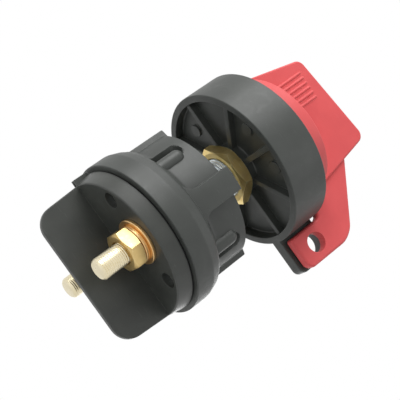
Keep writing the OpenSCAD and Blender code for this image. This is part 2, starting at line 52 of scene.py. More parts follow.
def extent(node):
    """The lowest and the highest corner of a CAD node, in millimetres."""
    low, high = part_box(node)
    return low / MM, high / MM


# ---- The main sizes ----

BEZEL_R = extent("bezel")[1].y
BEZEL_H = extent("bezel")[1].z
LUG_REACH = extent("bezel")[1].x
RECESS_R = BEZEL_R - 3.5
WEB_Z = 5.0
WEB_TOP_Z = 8.0
HUB_R = 12.5
HUB_Z = 0.4
MOUTH_R = 28.0
RIB_Z = 1.5
RIB_T = 2.6
RIB_ANGLES = range(0, 360, 45)
BOSS_ANGLES = (70, 115, 205, 295)
BOSS_AT = 27.5
BOSS_R = 3.1
TOP_T = 3.0
STOP_R = 23.0
STOP_HALF = 3.0

BODY_TOP_Z = -22.0
PAD_TOP_Z = extent("body_shell")[1].z
COLLAR_END_Z = extent("body_shell")[0].z
COLLAR_R = extent("body_shell")[1].y
CORE_R = 29.0
CORE_BORE_R = 25.9
COLLAR_BORE_R = 32.2
PAD_HALF = 5.8
BODY_TURN = -3.3
SIDE_SWELL = 2.9
POCKET_ANGLES = (39, 141, 219, 321)
POCKET_R = 3.4
POCKET_FLOOR = 27.8
POCKET_HIGH_Z = -29.8
POCKET_LOW_Z = -39.6
SCREW_AT = 29.0

RIM_Z = extent("base_gasket")[0].z
BASE_R = 35.8
BASE_END_R = 34.4
BASE_END_Z = extent("terminal_washers")[1].z
PARTITION_END_Z = extent("terminal_base")[0].z
STUD_Y = 19.8
STUD_R = 5.0

NECK_R = 10.0
KNOB_Z = 21.3
DISC_R = 33.0
DISC_TOP_R = 31.0
DISC_TOP_Z = 32.8
HANDLE_HALF_T = 6.5
HANDLE_BASE_HALF = 31.0
HANDLE_TOP_HALF = 24.4
HANDLE_TOP_Z = 67.68
HANDLE_SLOPE = math.tan(math.radians(6.2))
TONGUE_HALF = 4.0
# Each padlock hole is (x, z, radius).
LOCK_HOLE = (50.0, 13.0, 4.75)
FIXED_HOLE = (50.0, 13.0, 6.0)


# ---- Shapes ----

def turned(x, y, angle):
    """A point turned about the origin, angle in radians."""
    c, s = math.cos(angle), math.sin(angle)
    return x * c - y * s, x * s + y * c


def rounded(corners, steps=6):
    """Points of a closed outline; corners holds (x, y, radius of that corner)."""
    points = []
    for i, (x, y, radius) in enumerate(corners):
        at = Vector((x, y))
        if radius <= 0:
            points.append((x, y))
            continue
        a = (Vector(corners[i - 1][:2]) - at).normalized()
        b = (Vector(corners[(i + 1) % len(corners)][:2]) - at).normalized()
        half = math.acos(max(-1.0, min(1.0, a.dot(b)))) / 2
        centre = at + (a + b).normalized() * radius / math.sin(half)
        start = at + a * radius / math.tan(half) - centre
        finish = at + b * radius / math.tan(half) - centre
        sweep = math.atan2(start.x * finish.y - start.y * finish.x, start.dot(finish))
        for k in range(steps + 1):
            dx, dy = turned(start.x, start.y, sweep * k / steps)
            points.append((centre.x + dx, centre.y + dy))
    return points


def cleaned(bm, gap=1e-4):
    """Merges doubles and turns every face outwards."""
    bmesh.ops.remove_doubles(bm, verts=bm.verts[:], dist=gap)
    bmesh.ops.dissolve_degenerate(bm, edges=bm.edges[:], dist=gap)
    bmesh.ops.recalc_face_normals(bm, faces=bm.faces[:])
    return bm


def swept(profile, closed, steps, angle=FULL_TURN, rise=0.0, start=0.0):
    """A profile of (radius, z) points spun about Z, before any cleaning."""
    bm = bmesh.new()
    verts = []
    for radius, z in profile:
        x, y = turned(radius, 0.0, start)
        verts.append(bm.verts.new((x, y, z)))
    edges = [bm.edges.new(pair) for pair in zip(verts, verts[1:])]
    if closed:
        edges.append(bm.edges.new((verts[-1], verts[0])))
    bmesh.ops.spin(
        bm, geom=verts + edges, cent=(0, 0, 0), axis=(0, 0, 1), angle=angle,
        dvec=(0, 0, rise / steps), steps=steps, use_merge=(rise == 0.0 and angle == FULL_TURN))
    return bm


def denser(profile, longest=0.5):
    """The same outline with extra points, so that no two are far apart."""
    points = []
    for (r0, z0), (r1, z1) in zip(profile, profile[1:] + profile[:1]):
        count = max(1, math.ceil(math.hypot(r1 - r0, z1 - z0) / longest))
        points += [(r0 + (r1 - r0) * k / count, z0 + (z1 - z0) * k / count) for k in range(count)]
    return points


def soft_step(low, high, value):
    """0 below low, 1 above high, and a smooth rise between them."""
    t = max(0.0, min(1.0, (value - low) / (high - low)))
    return t * t * (3.0 - 2.0 * t)


def lathe(profile, closed=True, steps=144):
    """A turned shell. An open profile starts and ends on the axis."""
    return cleaned(swept(profile, closed, steps))


def bevelled(bm, chosen, width, segments=3):
    """Rounds the chosen edges."""
    bmesh.ops.bevel(
        bm, geom=chosen, offset=width, offset_type="OFFSET", segments=segments, profile=0.5,
        affect="EDGES", material=-1, clamp_overlap=True)
    return bm


def sharp_edges(bm, angle=35.0):
    """Edges whose two faces turn by more than an angle."""
    return [e for e in bm.edges if len(e.link_faces) == 2 and e.calc_face_angle() > math.radians(angle)]


def prism(corners, shift):
    """A flat outline drawn out along a shift."""
    bm = bmesh.new()
    bm.faces.new([bm.verts.new(corner) for corner in corners])
    grown = bmesh.ops.extrude_face_region(bm, geom=bm.faces[:])
    moved = [v for v in grown["geom"] if isinstance(v, bmesh.types.BMVert)]
    bmesh.ops.translate(bm, verts=moved, vec=shift)
    return cleaned(bm)


def sliced(bm, point, facing, drop=False):
    """Cuts every face along a plane; drop throws away the side that the plane faces."""
    everything = bm.verts[:] + bm.edges[:] + bm.faces[:]
    bmesh.ops.bisect_plane(
        bm, geom=everything, dist=1e-5, plane_co=point, plane_no=facing, clear_outer=drop)


def plate(outline, y0, y1, edge, hole=None, segments=3):
    """A flat plate upright in the X-Z plane, with a rounded rim, and a round hole if asked."""
    bm = prism([(x, y0, z) for x, z in outline], (0, y1 - y0, 0))
    level = [e for e in sharp_edges(bm) if abs(e.verts[0].co.y - e.verts[1].co.y) < 1e-4]
    bevelled(bm, level, edge, segments)
    if hole:
        bm = carved(bm, drill(hole, y0, y1))
    return bm


def drill(hole, y0, y1):
    """The shape of a hole along Y whose two mouths open out a little."""
    x, z, radius = hole
    lead = 0.35
    near, far = lead * 0.4, lead * 1.4
    clear_r = radius + lead + 1
    profile = [(0, y0 - 1), (clear_r, y0 - 1), (radius + near, y0 + near), (radius, y0 + far),
               (radius, y1 - far), (radius + near, y1 - near), (clear_r, y1 + 1), (0, y1 + 1)]
    bm = lathe(profile, False, 64)
    turn = Matrix.Translation((x, 0, z)) @ Matrix.Rotation(math.radians(-90), 4, "X")
    bmesh.ops.transform(bm, matrix=turn, verts=bm.verts[:])
    return cleaned(bm)


def block(low, high, edge=0.3, segments=2):
    """A box between two corners, with rounded edges."""
    bm = bmesh.new()
    bmesh.ops.create_cube(bm, size=1.0)
    size = Vector(high) - Vector(low)
    bmesh.ops.scale(bm, vec=size, verts=bm.verts[:])
    bmesh.ops.translate(bm, vec=(Vector(high) + Vector(low)) / 2, verts=bm.verts[:])
    return bevelled(bm, bm.edges[:], edge, segments)


def nut_shell(across_flats, bore_r, z0, z1, corner_at, steps=96):
    """A hexagon nut, its corners turned down at both ends and its bore chamfered."""
    flat_r = across_flats / 2
    face_r = flat_r * 0.955
    lead = 0.7
    wall_r = flat_r + 1.0
    profile = [
        (bore_r, z0 + lead), (bore_r + lead, z0), (face_r, z0), (wall_r, z0 + 1.0),
        (wall_r, z1 - 1.0), (face_r, z1), (bore_r + lead, z1), (bore_r, z1 - lead)]
    bm = lathe(profile, True, steps)
    for vert in bm.verts:
        x, y, z = vert.co
        if math.hypot(x, y) < flat_r + 0.5:
            continue
        turn = math.atan2(y, x) - math.radians(corner_at) + FULL_TURN
        hexagon_r = flat_r / math.cos(turn % math.radians(60) - math.radians(30))
        drop = (hexagon_r - face_r) * math.tan(math.radians(30))
        scale = hexagon_r / math.hypot(x, y)
        vert.co = (x * scale, y * scale, z0 + drop if z < (z0 + z1) / 2 else z1 - drop)
    corners = [e for e in sharp_edges(bm, 45) if abs(e.verts[0].co.z - e.verts[1].co.z) > 1.5
               and math.hypot(*e.verts[0].co.xy) > flat_r]
    bevelled(bm, corners, 0.25, 2)
    return cleaned(bm)


def threaded_skin(radius, depth, root_end, z0, z1, pitch, steps):
    """The skin of a helical thread, open and flat at both ends.

    root_end is the share of the pitch at which the root ends and the flank starts."""
    turns = int((z1 - z0) / pitch) + 3
    start = z0 - 1.5 * pitch
    root_r = radius - depth
    profile = []
    for k in range(turns):
        for part, reach in ((0.0, root_r), (root_end, root_r), (0.46, radius), (0.66, radius)):
            profile.append((reach, start + (k + part) * pitch))
    bm = swept(profile, False, steps, rise=pitch)
    bmesh.ops.remove_doubles(bm, verts=bm.verts[:], dist=1e-3)
    sliced(bm, (0, 0, z0), (0, 0, -1), True)
    sliced(bm, (0, 0, z1), (0, 0, 1), True)
    return bm


def boundary(bm):
    """The edges round every opening."""
    return [e for e in bm.edges if e.is_boundary]


def threaded_rod(radius, z0, z1, lead):
    """A rod with a helical thread, closed at both ends. lead turns its lower end down."""
    bm = threaded_skin(radius, 0.3, 0.14, z0, z1, 1.0, 64)
    for level in (0.33, 0.66, 1.0):
        sliced(bm, (0, 0, z0 + lead * level), (0, 0, 1))
    for vert in bm.verts:
        reach = math.hypot(*vert.co.xy)
        limit = radius - lead + max(0.0, vert.co.z - z0)
        if reach > limit > 0:
            vert.co.x *= limit / reach
            vert.co.y *= limit / reach
    bmesh.ops.holes_fill(bm, edges=boundary(bm), sides=0)
    return cleaned(bm)


# ---- Putting pieces together ----

def add(whole, part, angle=0.0, shift=(0, 0, 0)):
    """Adds a shell to a piece, shifted and then turned about the axis."""
    turn = Matrix.Rotation(math.radians(-angle), 4, "Z") @ Matrix.Translation(Vector(shift))
    bmesh.ops.transform(part, matrix=turn, verts=part.verts[:])
    carrier = bpy.data.meshes.new("carrier")
    part.to_mesh(carrier)
    part.free()
    whole.from_mesh(carrier)
    bpy.data.meshes.remove(carrier)


def carved(shell, cutter):
    """Takes the cutter's shell out of another shell."""
    made = []
    for bm in (shell, cutter):
        mesh = bpy.data.meshes.new("carving")
        bm.to_mesh(mesh)
        bm.free()
        made.append(bpy.data.objects.new("carving", mesh))
        bpy.context.scene.collection.objects.link(made[-1])
    tool = made[0].modifiers.new("cut", "BOOLEAN")
    tool.object = made[1]
    tool.operation = "DIFFERENCE"
    tool.solver = "EXACT"
    graph = bpy.context.evaluated_depsgraph_get()
    result = bpy.data.meshes.new_from_object(made[0].evaluated_get(graph))
    bm = bmesh.new()
    bm.from_mesh(result)
    bpy.data.meshes.remove(result)
    for thing in made:
        mesh = thing.data
        bpy.data.objects.remove(thing)
        bpy.data.meshes.remove(mesh)
    return cleaned(bm)


def piece(name, bm, body, slot, material, *nodes, crease=32.0):
    """Makes the finished object, which rides on a body and stands for its CAD nodes."""
    bmesh.ops.scale(bm, vec=(MM, MM, MM), verts=bm.verts[:])
    mesh = bpy.data.meshes.new(name)
    bm.to_mesh(mesh)
    bm.free()
    made = bpy.data.objects.new(name, mesh)
    bpy.context.scene.collection.objects.link(made)
    finish_surface(made, material, crease)
    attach(made, body)
    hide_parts(*nodes)


def finish_surface(made, material, angle):
    """Smooth shading that keeps hard edges hard and flat faces flat."""
    made.data.shade_smooth()
    made.data.set_sharp_from_angle(angle=math.radians(angle))
    made.data.materials.append(material)
    flat = made.modifiers.new("flat faces", "WEIGHTED_NORMAL")
    flat.keep_sharp = True
    flat.weight = 60


# ---- Shared surface effects ----

def new_group(name, inputs, outputs):
    """A node group with named inputs (name, kind, value) and outputs (name, kind)."""
    group = bpy.data.node_groups.new(name, "ShaderNodeTree")
    for label, kind, value in inputs:
        socket = group.interface.new_socket(label, in_out="INPUT", socket_type=kind)
        if value is not None:
            socket.default_value = value
    for label, kind in outputs:
        group.interface.new_socket(label, in_out="OUTPUT", socket_type=kind)
    entry = group.nodes.new("NodeGroupInput")
    leave = group.nodes.new("NodeGroupOutput")
    return group, entry, leave


def add_node(tree, kind, **settings):
    """A node whose settings are attributes, or values of the named inputs."""
    node = tree.nodes.new(kind)
    for key, value in settings.items():
        if hasattr(node, key):
            setattr(node, key, value)
        else:
            node.inputs[key.replace("_", " ")].default_value = value
    return node


def moulded_skin_group():
    """Fine grain, cloudy patches and rubbed patches of a moulded or plated skin."""
    group, entry, leave = new_group(
        "moulded_skin",
        [("Place", "NodeSocketVector", None), ("Grain Scale", "NodeSocketFloat", 2600.0),
         ("Patch Scale", "NodeSocketFloat", 55.0), ("Rub Scale", "NodeSocketFloat", 140.0)],
        [("Grain", "NodeSocketFloat"), ("Patches", "NodeSocketFloat"), ("Rubbed", "NodeSocketFloat")])
    link = group.links.new
    grain = add_node(group, "ShaderNodeTexNoise", Detail=2.0, Roughness=0.6)
    patches = add_node(group, "ShaderNodeTexNoise", Detail=3.0, Roughness=0.55)
    rub = add_node(group, "ShaderNodeTexNoise", Detail=5.0, Roughness=0.7, Distortion=0.8)
    spread = add_node(group, "ShaderNodeMapRange", From_Min=0.5, From_Max=0.74)
    for node, scale in ((grain, "Grain Scale"), (patches, "Patch Scale"), (rub, "Rub Scale")):
        link(entry.outputs["Place"], node.inputs["Vector"])
        link(entry.outputs[scale], node.inputs["Scale"])
    link(rub.outputs["Fac"], spread.inputs["Value"])
    link(grain.outputs["Fac"], leave.inputs["Grain"])
    link(patches.outputs["Fac"], leave.inputs["Patches"])
    link(spread.outputs["Result"], leave.inputs["Rubbed"])
    return group


def fine_scratches_group():
    """Short thin scratches that run in two directions."""
    group, entry, leave = new_group(
        "fine_scratches",
        [("Place", "NodeSocketVector", None), ("Scale", "NodeSocketFloat", 150.0)],
        [("Scratches", "NodeSocketFloat")])
    link = group.links.new
    found = []
    for turn in ((0.3, 0.2, 0.5), (1.2, 0.7, -0.8)):
        stretch = add_node(group, "ShaderNodeMapping", Rotation=turn, Scale=(1.0, 9.0, 9.0))
        lines = add_node(group, "ShaderNodeTexNoise", Detail=1.0, Roughness=0.4)
        thin = add_node(group, "ShaderNodeMapRange", From_Min=0.72, From_Max=0.78)
        link(entry.outputs["Place"], stretch.inputs["Vector"])
        link(stretch.outputs["Vector"], lines.inputs["Vector"])
        link(entry.outputs["Scale"], lines.inputs["Scale"])
        link(lines.outputs["Fac"], thin.inputs["Value"])
        found.append(thin)
    either = add_node(group, "ShaderNodeMath", operation="MAXIMUM")
    link(found[0].outputs["Result"], either.inputs[0])
    link(found[1].outputs["Result"], either.inputs[1])
    link(either.outputs["Value"], leave.inputs["Scratches"])
    return group


def edge_highlight_and_rub_group():
    """A mask that is high on outer edges, broken up by noise; the materials paint the edges lighter with
    it, partly as rubbed wear and partly as a painted highlight.
    """
    group, entry, leave = new_group(
        "edge_highlight_and_rub",
        [("Place", "NodeSocketVector", None), ("Width", "NodeSocketFloat", 0.0005),
         ("Breakup Scale", "NodeSocketFloat", 320.0)],
        [("Edge", "NodeSocketFloat")])
    link = group.links.new
    soft = add_node(group, "ShaderNodeBevel", samples=4)
    true_normal = add_node(group, "ShaderNodeNewGeometry")
    match = add_node(group, "ShaderNodeVectorMath", operation="DOT_PRODUCT")
    turned_away = add_node(group, "ShaderNodeMapRange", From_Min=0.995, From_Max=0.86)
    noise = add_node(group, "ShaderNodeTexNoise", Detail=3.0, Roughness=0.6)
    broken = add_node(group, "ShaderNodeMapRange", From_Min=0.34, From_Max=0.62)
    both = add_node(group, "ShaderNodeMath", operation="MULTIPLY")
    link(entry.outputs["Width"], soft.inputs["Radius"])
    link(soft.outputs["Normal"], match.inputs[0])
    link(true_normal.outputs["Normal"], match.inputs[1])
    link(match.outputs["Value"], turned_away.inputs["Value"])
    link(entry.outputs["Place"], noise.inputs["Vector"])
    link(entry.outputs["Breakup Scale"], noise.inputs["Scale"])
    link(noise.outputs["Fac"], broken.inputs["Value"])
    link(turned_away.outputs["Result"], both.inputs[0])
    link(broken.outputs["Result"], both.inputs[1])
    link(both.outputs["Value"], leave.inputs["Edge"])
    return group


SKIN = moulded_skin_group()
SCRATCHES = fine_scratches_group()
EDGE_HIGHLIGHT_AND_RUB = edge_highlight_and_rub_group()


# ---- Materials ----

GRAIN_DEPTH = 0.00004


def place_group(tree, group, place, **values):
    """Puts a shared effect into a material and feeds it the object's own coordinates."""
    node = tree.nodes.new("ShaderNodeGroup")
    node.node_tree = group
    tree.links.new(place, node.inputs["Place"])
    for key, value in values.items():
        node.inputs[key.replace("_", " ")].default_value = value
    return node


def mixed(tree, factor, first, second):
    """A colour mix; either side may be a colour or an output."""
    node = add_node(tree, "ShaderNodeMix", data_type="RGBA", blend_type="MIX")
    tree.links.new(factor, node.inputs[0])
    for value, socket in ((first, node.inputs[6]), (second, node.inputs[7])):
        if isinstance(value, bpy.types.NodeSocket):
            tree.links.new(value, socket)
        else:
            socket.default_value = (*value, 1.0)
    return node.outputs[2]


def ranged(tree, value, low, high, from_low=0.0, from_high=1.0):
    """A value stretched from one range to another."""
    node = add_node(tree, "ShaderNodeMapRange")
    tree.links.new(value, node.inputs["Value"])
    node.inputs["From Min"].default_value = from_low
    node.inputs["From Max"].default_value = from_high
    node.inputs["To Min"].default_value = low
    node.inputs["To Max"].default_value = high
    return node.outputs["Result"]


def scaled(tree, value, amount):
    """A value times a fixed amount."""
    node = add_node(tree, "ShaderNodeMath", operation="MULTIPLY")
    tree.links.new(value, node.inputs[0])
    node.inputs[1].default_value = amount
    return node.outputs["Value"]


def weighed(tree, first, first_share, second, second_share):
    """Two masks added in shares, never above 1."""
    node = add_node(tree, "ShaderNodeMath", operation="ADD", use_clamp=True)
    tree.links.new(scaled(tree, first, first_share), node.inputs[0])
    tree.links.new(scaled(tree, second, second_share), node.inputs[1])
    return node.outputs["Value"]


def bumped(tree, height, shader, strength):
    """Fine relief in the shader's normal."""
    bump = add_node(tree, "ShaderNodeBump", Strength=strength, Distance=GRAIN_DEPTH)
    tree.links.new(height, bump.inputs["Height"])
    tree.links.new(bump.outputs["Normal"], shader.inputs["Normal"])


def start_material(name, **plain):
    """A material with plain values on its shader, and its object coordinates."""
    material = bpy.data.materials.new(name)
    material.use_nodes = True
    tree = material.node_tree
    shader = tree.nodes["Principled BSDF"]
    for key, value in plain.items():
        shader.inputs[key.replace("_", " ")].default_value = value
    place = tree.nodes.new("ShaderNodeTexCoord").outputs["Object"]
    return material, tree, shader, place


def plastic_material(name, deep, pale, worn_and_highlight_colour, roughness, sheen=0.45, scratch=0.12):
    """Moulded plastic: a grained skin, cloudy tone, outer edges painted lighter as partly rubbed wear and
    partly a painted highlight, and a few fine scratches.
    """
    edge, grain = 0.4, 0.2
    material, tree, shader, place = start_material(name, Specular_IOR_Level=sheen)
    skin = place_group(tree, SKIN, place)
    lines = place_group(tree, SCRATCHES, place)
    rub = place_group(tree, EDGE_HIGHLIGHT_AND_RUB, place)
    cloudy = ranged(tree, skin.outputs["Patches"], 0.0, 1.0, 0.3, 0.7)
    tone = mixed(tree, cloudy, deep, pale)
    # Outer edges and scratches take the lighter colour: the scratches as real marks, the edges partly as
    # rubbed wear and partly as a painted highlight.
    marks_and_edge_highlight = weighed(tree, rub.outputs["Edge"], edge, lines.outputs["Scratches"], scratch)
    tree.links.new(mixed(tree, marks_and_edge_highlight, tone, worn_and_highlight_colour), shader.inputs["Base Color"])
    gloss = ranged(tree, skin.outputs["Rubbed"], roughness + 0.05, roughness - 0.07)
    tree.links.new(gloss, shader.inputs["Roughness"])
    relief = weighed(tree, skin.outputs["Grain"], 0.8, lines.outputs["Scratches"], 0.2)
    bumped(tree, relief, shader, grain)
    return material


def metal_material(name, deep, pale, worn_and_highlight_colour, roughness, grain=0.2, edge=0.6):
    """Turned or plated metal: brushed grain, patches of tarnish, and outer edges painted brighter as partly
    rubbed wear and partly a painted highlight.
    """
    material, tree, shader, place = start_material(name, Metallic=1.0)
    skin = place_group(tree, SKIN, place, Grain_Scale=1400.0, Patch_Scale=130.0, Rub_Scale=260.0)
    lines = place_group(tree, SCRATCHES, place, Scale=160.0)
    rub = place_group(tree, EDGE_HIGHLIGHT_AND_RUB, place, Width=0.0004)
    tone = mixed(tree, ranged(tree, skin.outputs["Patches"], 0.0, 1.0, 0.32, 0.68), deep, pale)
    # Outer edges and scratches take the paler colour: the scratches as real marks, the edges partly as
    # rubbed wear and partly as a painted highlight.
    marks_and_edge_highlight = weighed(tree, rub.outputs["Edge"], edge, lines.outputs["Scratches"], 0.3)
    tree.links.new(mixed(tree, marks_and_edge_highlight, tone, worn_and_highlight_colour), shader.inputs["Base Color"])
    gloss = ranged(tree, skin.outputs["Rubbed"], roughness + 0.08, roughness - 0.05)
    tree.links.new(gloss, shader.inputs["Roughness"])
    relief = weighed(tree, skin.outputs["Grain"], 0.7, lines.outputs["Scratches"], 0.3)
    bumped(tree, relief, shader, grain)
    return material


# The third colour of each material colours the scratches and paints the outer edges lighter, partly as
# rubbed wear and partly as a painted highlight.
BLACK_PLASTIC = plastic_material(
    "black_moulded_plastic", (0.037, 0.041, 0.037), (0.052, 0.057, 0.052), (0.16, 0.17, 0.16), 0.44)
BASE_PLASTIC = plastic_material(
    "base_moulded_plastic", (0.033, 0.036, 0.032), (0.054, 0.058, 0.052), (0.16, 0.17, 0.16), 0.36)
RED_PLASTIC = plastic_material(
    "red_satin_plastic", (0.67, 0.080, 0.084), (0.75, 0.100, 0.102), (0.90, 0.34, 0.32), 0.50,
    sheen=0.42, scratch=0.06)
CARRIER_PLASTIC = plastic_material(
    "natural_nylon", (0.66, 0.63, 0.54), (0.76, 0.73, 0.64), (0.85, 0.83, 0.76), 0.45)
SEAL_RUBBER = plastic_material(
    "seal_rubber", (0.010, 0.010, 0.010), (0.018, 0.018, 0.018), (0.05, 0.05, 0.05), 0.62, sheen=0.25)
OLIVE_BRASS = metal_material(
    "dull_brass", (0.86, 0.63, 0.24), (0.97, 0.78, 0.36), (1.0, 0.95, 0.66), 0.33, grain=0.1, edge=0.9)
BRIGHT_BRASS = metal_material(
    "bright_brass", (0.58, 0.41, 0.16), (0.68, 0.50, 0.22), (0.92, 0.78, 0.48), 0.30, grain=0.1)
PALE_BRASS = metal_material(
    "pale_plated_brass", (0.76, 0.67, 0.45), (0.86, 0.78, 0.58), (0.97, 0.94, 0.82), 0.25,
    grain=0.05, edge=0.3)
WASHER_BRONZE = metal_material(
    "copper_bronze", (0.70, 0.42, 0.17), (0.82, 0.55, 0.26), (0.95, 0.80, 0.52), 0.28)
ZINC_PLATE = metal_material(
    "zinc_plate", (0.62, 0.68, 0.72), (0.74, 0.79, 0.82), (0.88, 0.91, 0.93), 0.32)
STEEL = metal_material(
    "plain_steel", (0.42, 0.43, 0.44), (0.52, 0.53, 0.54), (0.74, 0.75, 0.76), 0.34)
SPRING_STEEL = metal_material(
    "spring_steel", (0.30, 0.31, 0.33), (0.42, 0.43, 0.45), (0.66, 0.67, 0.69), 0.28)
BRIDGE_COPPER = metal_material(
    "bridge_copper", (0.66, 0.32, 0.19), (0.78, 0.42, 0.27), (0.92, 0.64, 0.48), 0.30)
CONTACT_SILVER = metal_material(
    "contact_silver", (0.76, 0.76, 0.74), (0.88, 0.88, 0.86), (0.96, 0.96, 0.95), 0.22)


# ---- Fixed pieces ----

def make_bezel():
    """The round bezel with its recess, hub, ribs, bosses, fixed lug and stops."""
    outline = rounded([
        (NECK_R + 0.1, HUB_Z, 0.4), (HUB_R, HUB_Z, 0.5), (HUB_R, WEB_Z, 0.8), (RECESS_R, WEB_Z, 0.8),
        (RECESS_R, 0.0, 0.4), (BEZEL_R, 0.0, 0.6), (BEZEL_R, BEZEL_H, 0.5), (MOUTH_R, BEZEL_H, 0.5),
        (MOUTH_R, BEZEL_H - TOP_T, 0), (RECESS_R, BEZEL_H - TOP_T, 0.8), (RECESS_R, WEB_TOP_Z, 0.8),
        (NECK_R + 0.1, WEB_TOP_Z, 0)])
    whole = bmesh.new()
    add(whole, lathe(outline, True, 192))
    for angle in RIB_ANGLES:
        rib = block((HUB_R - 1, -RIB_T / 2, RIB_Z), (RECESS_R + 0.8, RIB_T / 2, WEB_Z + 0.6), 0.3)
        add(whole, rib, angle)
    for angle in BOSS_ANGLES:
        boss = rounded([
            (0, WEB_Z - 1, 0), (BOSS_R, WEB_Z - 1, 0.25), (BOSS_R, WEB_Z + 0.4, 0), (0, WEB_Z + 0.4, 0)])
        add(whole, lathe(boss, False, 40), angle, (BOSS_AT, 0, 0))
    lug_root, lug_low_z = BEZEL_R - 1.75, 0.03
    lug = rounded([
        (lug_root, lug_low_z, 0), (LUG_REACH, lug_low_z, 3.5),
        (LUG_REACH, BEZEL_H, 5), (lug_root, BEZEL_H, 0)], 8)
    add(whole, plate(lug, 0.7, 7.2, 0.5, FIXED_HOLE))
    for angle in (-180 - stop_half_angle(), -90 + stop_half_angle()):
        stop = block((STOP_R, -STOP_HALF, BEZEL_H - TOP_T), (MOUTH_R + 1, STOP_HALF, BEZEL_H), 0.2)
        add(whole, stop, angle)
    piece("bezel_with_lug", whole, "housing", "black_plastic", BLACK_PLASTIC, "bezel")


def stop_half_angle():
    """Half of the angle that the knob's tongue and a stop take up together."""
    gap = 0.3
    return math.degrees(math.asin((TONGUE_HALF + STOP_HALF + gap) / STOP_R))


def make_pad(radius, drop):
    """A spanner pad: straight sides that flare out into the shoulder."""
    flare = 6.0
    low = PAD_TOP_Z - drop
    side = [(PAD_HALF, PAD_TOP_Z), (PAD_HALF, low)]
    for k in range(1, 8):
        t = math.radians(90 * k / 7)
        side.append((PAD_HALF + flare * (1 - math.cos(t)), low - flare * math.sin(t)))
    outline = side + [(-x, z) for x, z in reversed(side)]
    inside_r = CORE_R - 1.0
    bm = plate(outline, inside_r, radius, 0.45)
    for k in range(-10, 11):
        sliced(bm, (k * 1.1, 0, 0), (1, 0, 0))
    for vert in bm.verts:
        share = (vert.co.y - inside_r) / (radius - inside_r)
        vert.co.y -= share * (radius - math.sqrt(radius ** 2 - vert.co.x ** 2))
    return cleaned(bm)


def shape_core(bm):
    """Makes the core oval, and sinks a soft pocket beside each screw rib."""
    lowest_z = -44.0
    for vert in bm.verts:
        x, y, z = vert.co
        radius = math.hypot(x, y)
        if radius < CORE_BORE_R + 0.5 or z < lowest_z or z > BODY_TOP_Z + 0.1:
            continue
        fade = soft_step(36.0, 32.0, radius)
        reach = radius + SIDE_SWELL * abs(x / radius) ** 3 * fade
        for angle in POCKET_ANGLES:
            along, across = turned(x, y, math.radians(angle))
            level = max(POCKET_LOW_Z, min(POCKET_HIGH_Z, z))
            inside = soft_step(0.45, -0.45, math.hypot(across, z - level) - POCKET_R)
            if along > 0 and inside > 0:
                floor = POCKET_FLOOR * radius / along
                reach += (min(reach, floor) - reach) * inside
        vert.co.x *= reach / radius
        vert.co.y *= reach / radius
    return cleaned(bm)


def make_side_key():
    """A key with sloping sides, standing along the axis at +X."""
    reach, half, low_z = 33.9, 3.6, -42.0
    corners = [(CORE_R - 1, -PAD_HALF), (reach, -half), (reach, half), (CORE_R - 1, PAD_HALF)]
    bm = prism([(x, y, low_z) for x, y in corners], (0, 0, PAD_TOP_Z - low_z))
    return bevelled(bm, bm.edges[:], 0.5)


def make_screw_rib():
    """A round rib over a screw, with a domed top."""
    rib_r, dome_z, low_z = 3.5, -31.5, -52.0
    dome = []
    for degrees in range(0, 91, 9):
        t = math.radians(degrees)
        dome.append((rib_r * math.sin(t), dome_z + rib_r * math.cos(t)))
    return lathe(dome + [(rib_r, low_z), (0, low_z)], False, 48)


def make_body_shell():
    """The contact housing: an oval core with pads, screw ribs, a soft shoulder and a collar."""
    shoulder_r, shoulder_z = 36.4, -44.7
    ceiling_z, mouth_r = -25.1, NECK_R + 0.1
    outline = rounded([
        (mouth_r, BODY_TOP_Z, 0.3), (CORE_R, BODY_TOP_Z, 0.6), (CORE_R, shoulder_z + 4, 4.0),
        (shoulder_r, shoulder_z, 4.0), (COLLAR_R, shoulder_z - 5.5, 4.0), (COLLAR_R, COLLAR_END_Z, 0.5),
        (COLLAR_BORE_R, COLLAR_END_Z, 0.3), (COLLAR_BORE_R, shoulder_z, 0), (CORE_BORE_R, shoulder_z, 0),
        (CORE_BORE_R, ceiling_z, 0), (mouth_r, ceiling_z, 0)])
    whole = bmesh.new()
    add(whole, shape_core(lathe(denser(outline), True, 240)), BODY_TURN)
    for angle in (0, 180):
        add(whole, make_pad(33.2, 17.2), angle + BODY_TURN)
        add(whole, make_side_key(), angle + BODY_TURN)
    for angle in QUARTERS:
        add(whole, make_screw_rib(), angle + BODY_TURN, (SCREW_AT, 0, 0))
    piece("contact_housing", whole, "housing", "black_plastic", BLACK_PLASTIC, "body_shell")


def make_base_end(bm, rim_r):
    """The end face between the rim and four deep screw holes."""
    mouth_r = 4.0
    loops = []
    for centre, radius, count in [((0, 0), rim_r, 192)] + [
            (turned(SCREW_AT, 0, math.radians(-a)), mouth_r, 40) for a in QUARTERS]:
        ring = []
        for k in range(count):
            dx, dy = turned(radius, 0, FULL_TURN * k / count)
            ring.append(bm.verts.new((centre[0] + dx, centre[1] + dy, BASE_END_Z)))
        loops += [bm.edges.new((ring[k - 1], ring[k])) for k in range(count)]
    bmesh.ops.triangle_fill(bm, edges=loops, use_beauty=True)
    well_r = 3.75
    deep = BASE_END_Z + 6.0
    well = [(mouth_r, BASE_END_Z), (mouth_r - 0.2, BASE_END_Z + 0.07), (well_r, BASE_END_Z + 0.3),
            (well_r, deep), (0, deep)]
    for a in QUARTERS:
        cx, cy = turned(SCREW_AT, 0, math.radians(-a))
        cup = swept(well, False, 40)
        add(bm, cup, 0, (cx, cy, 0))


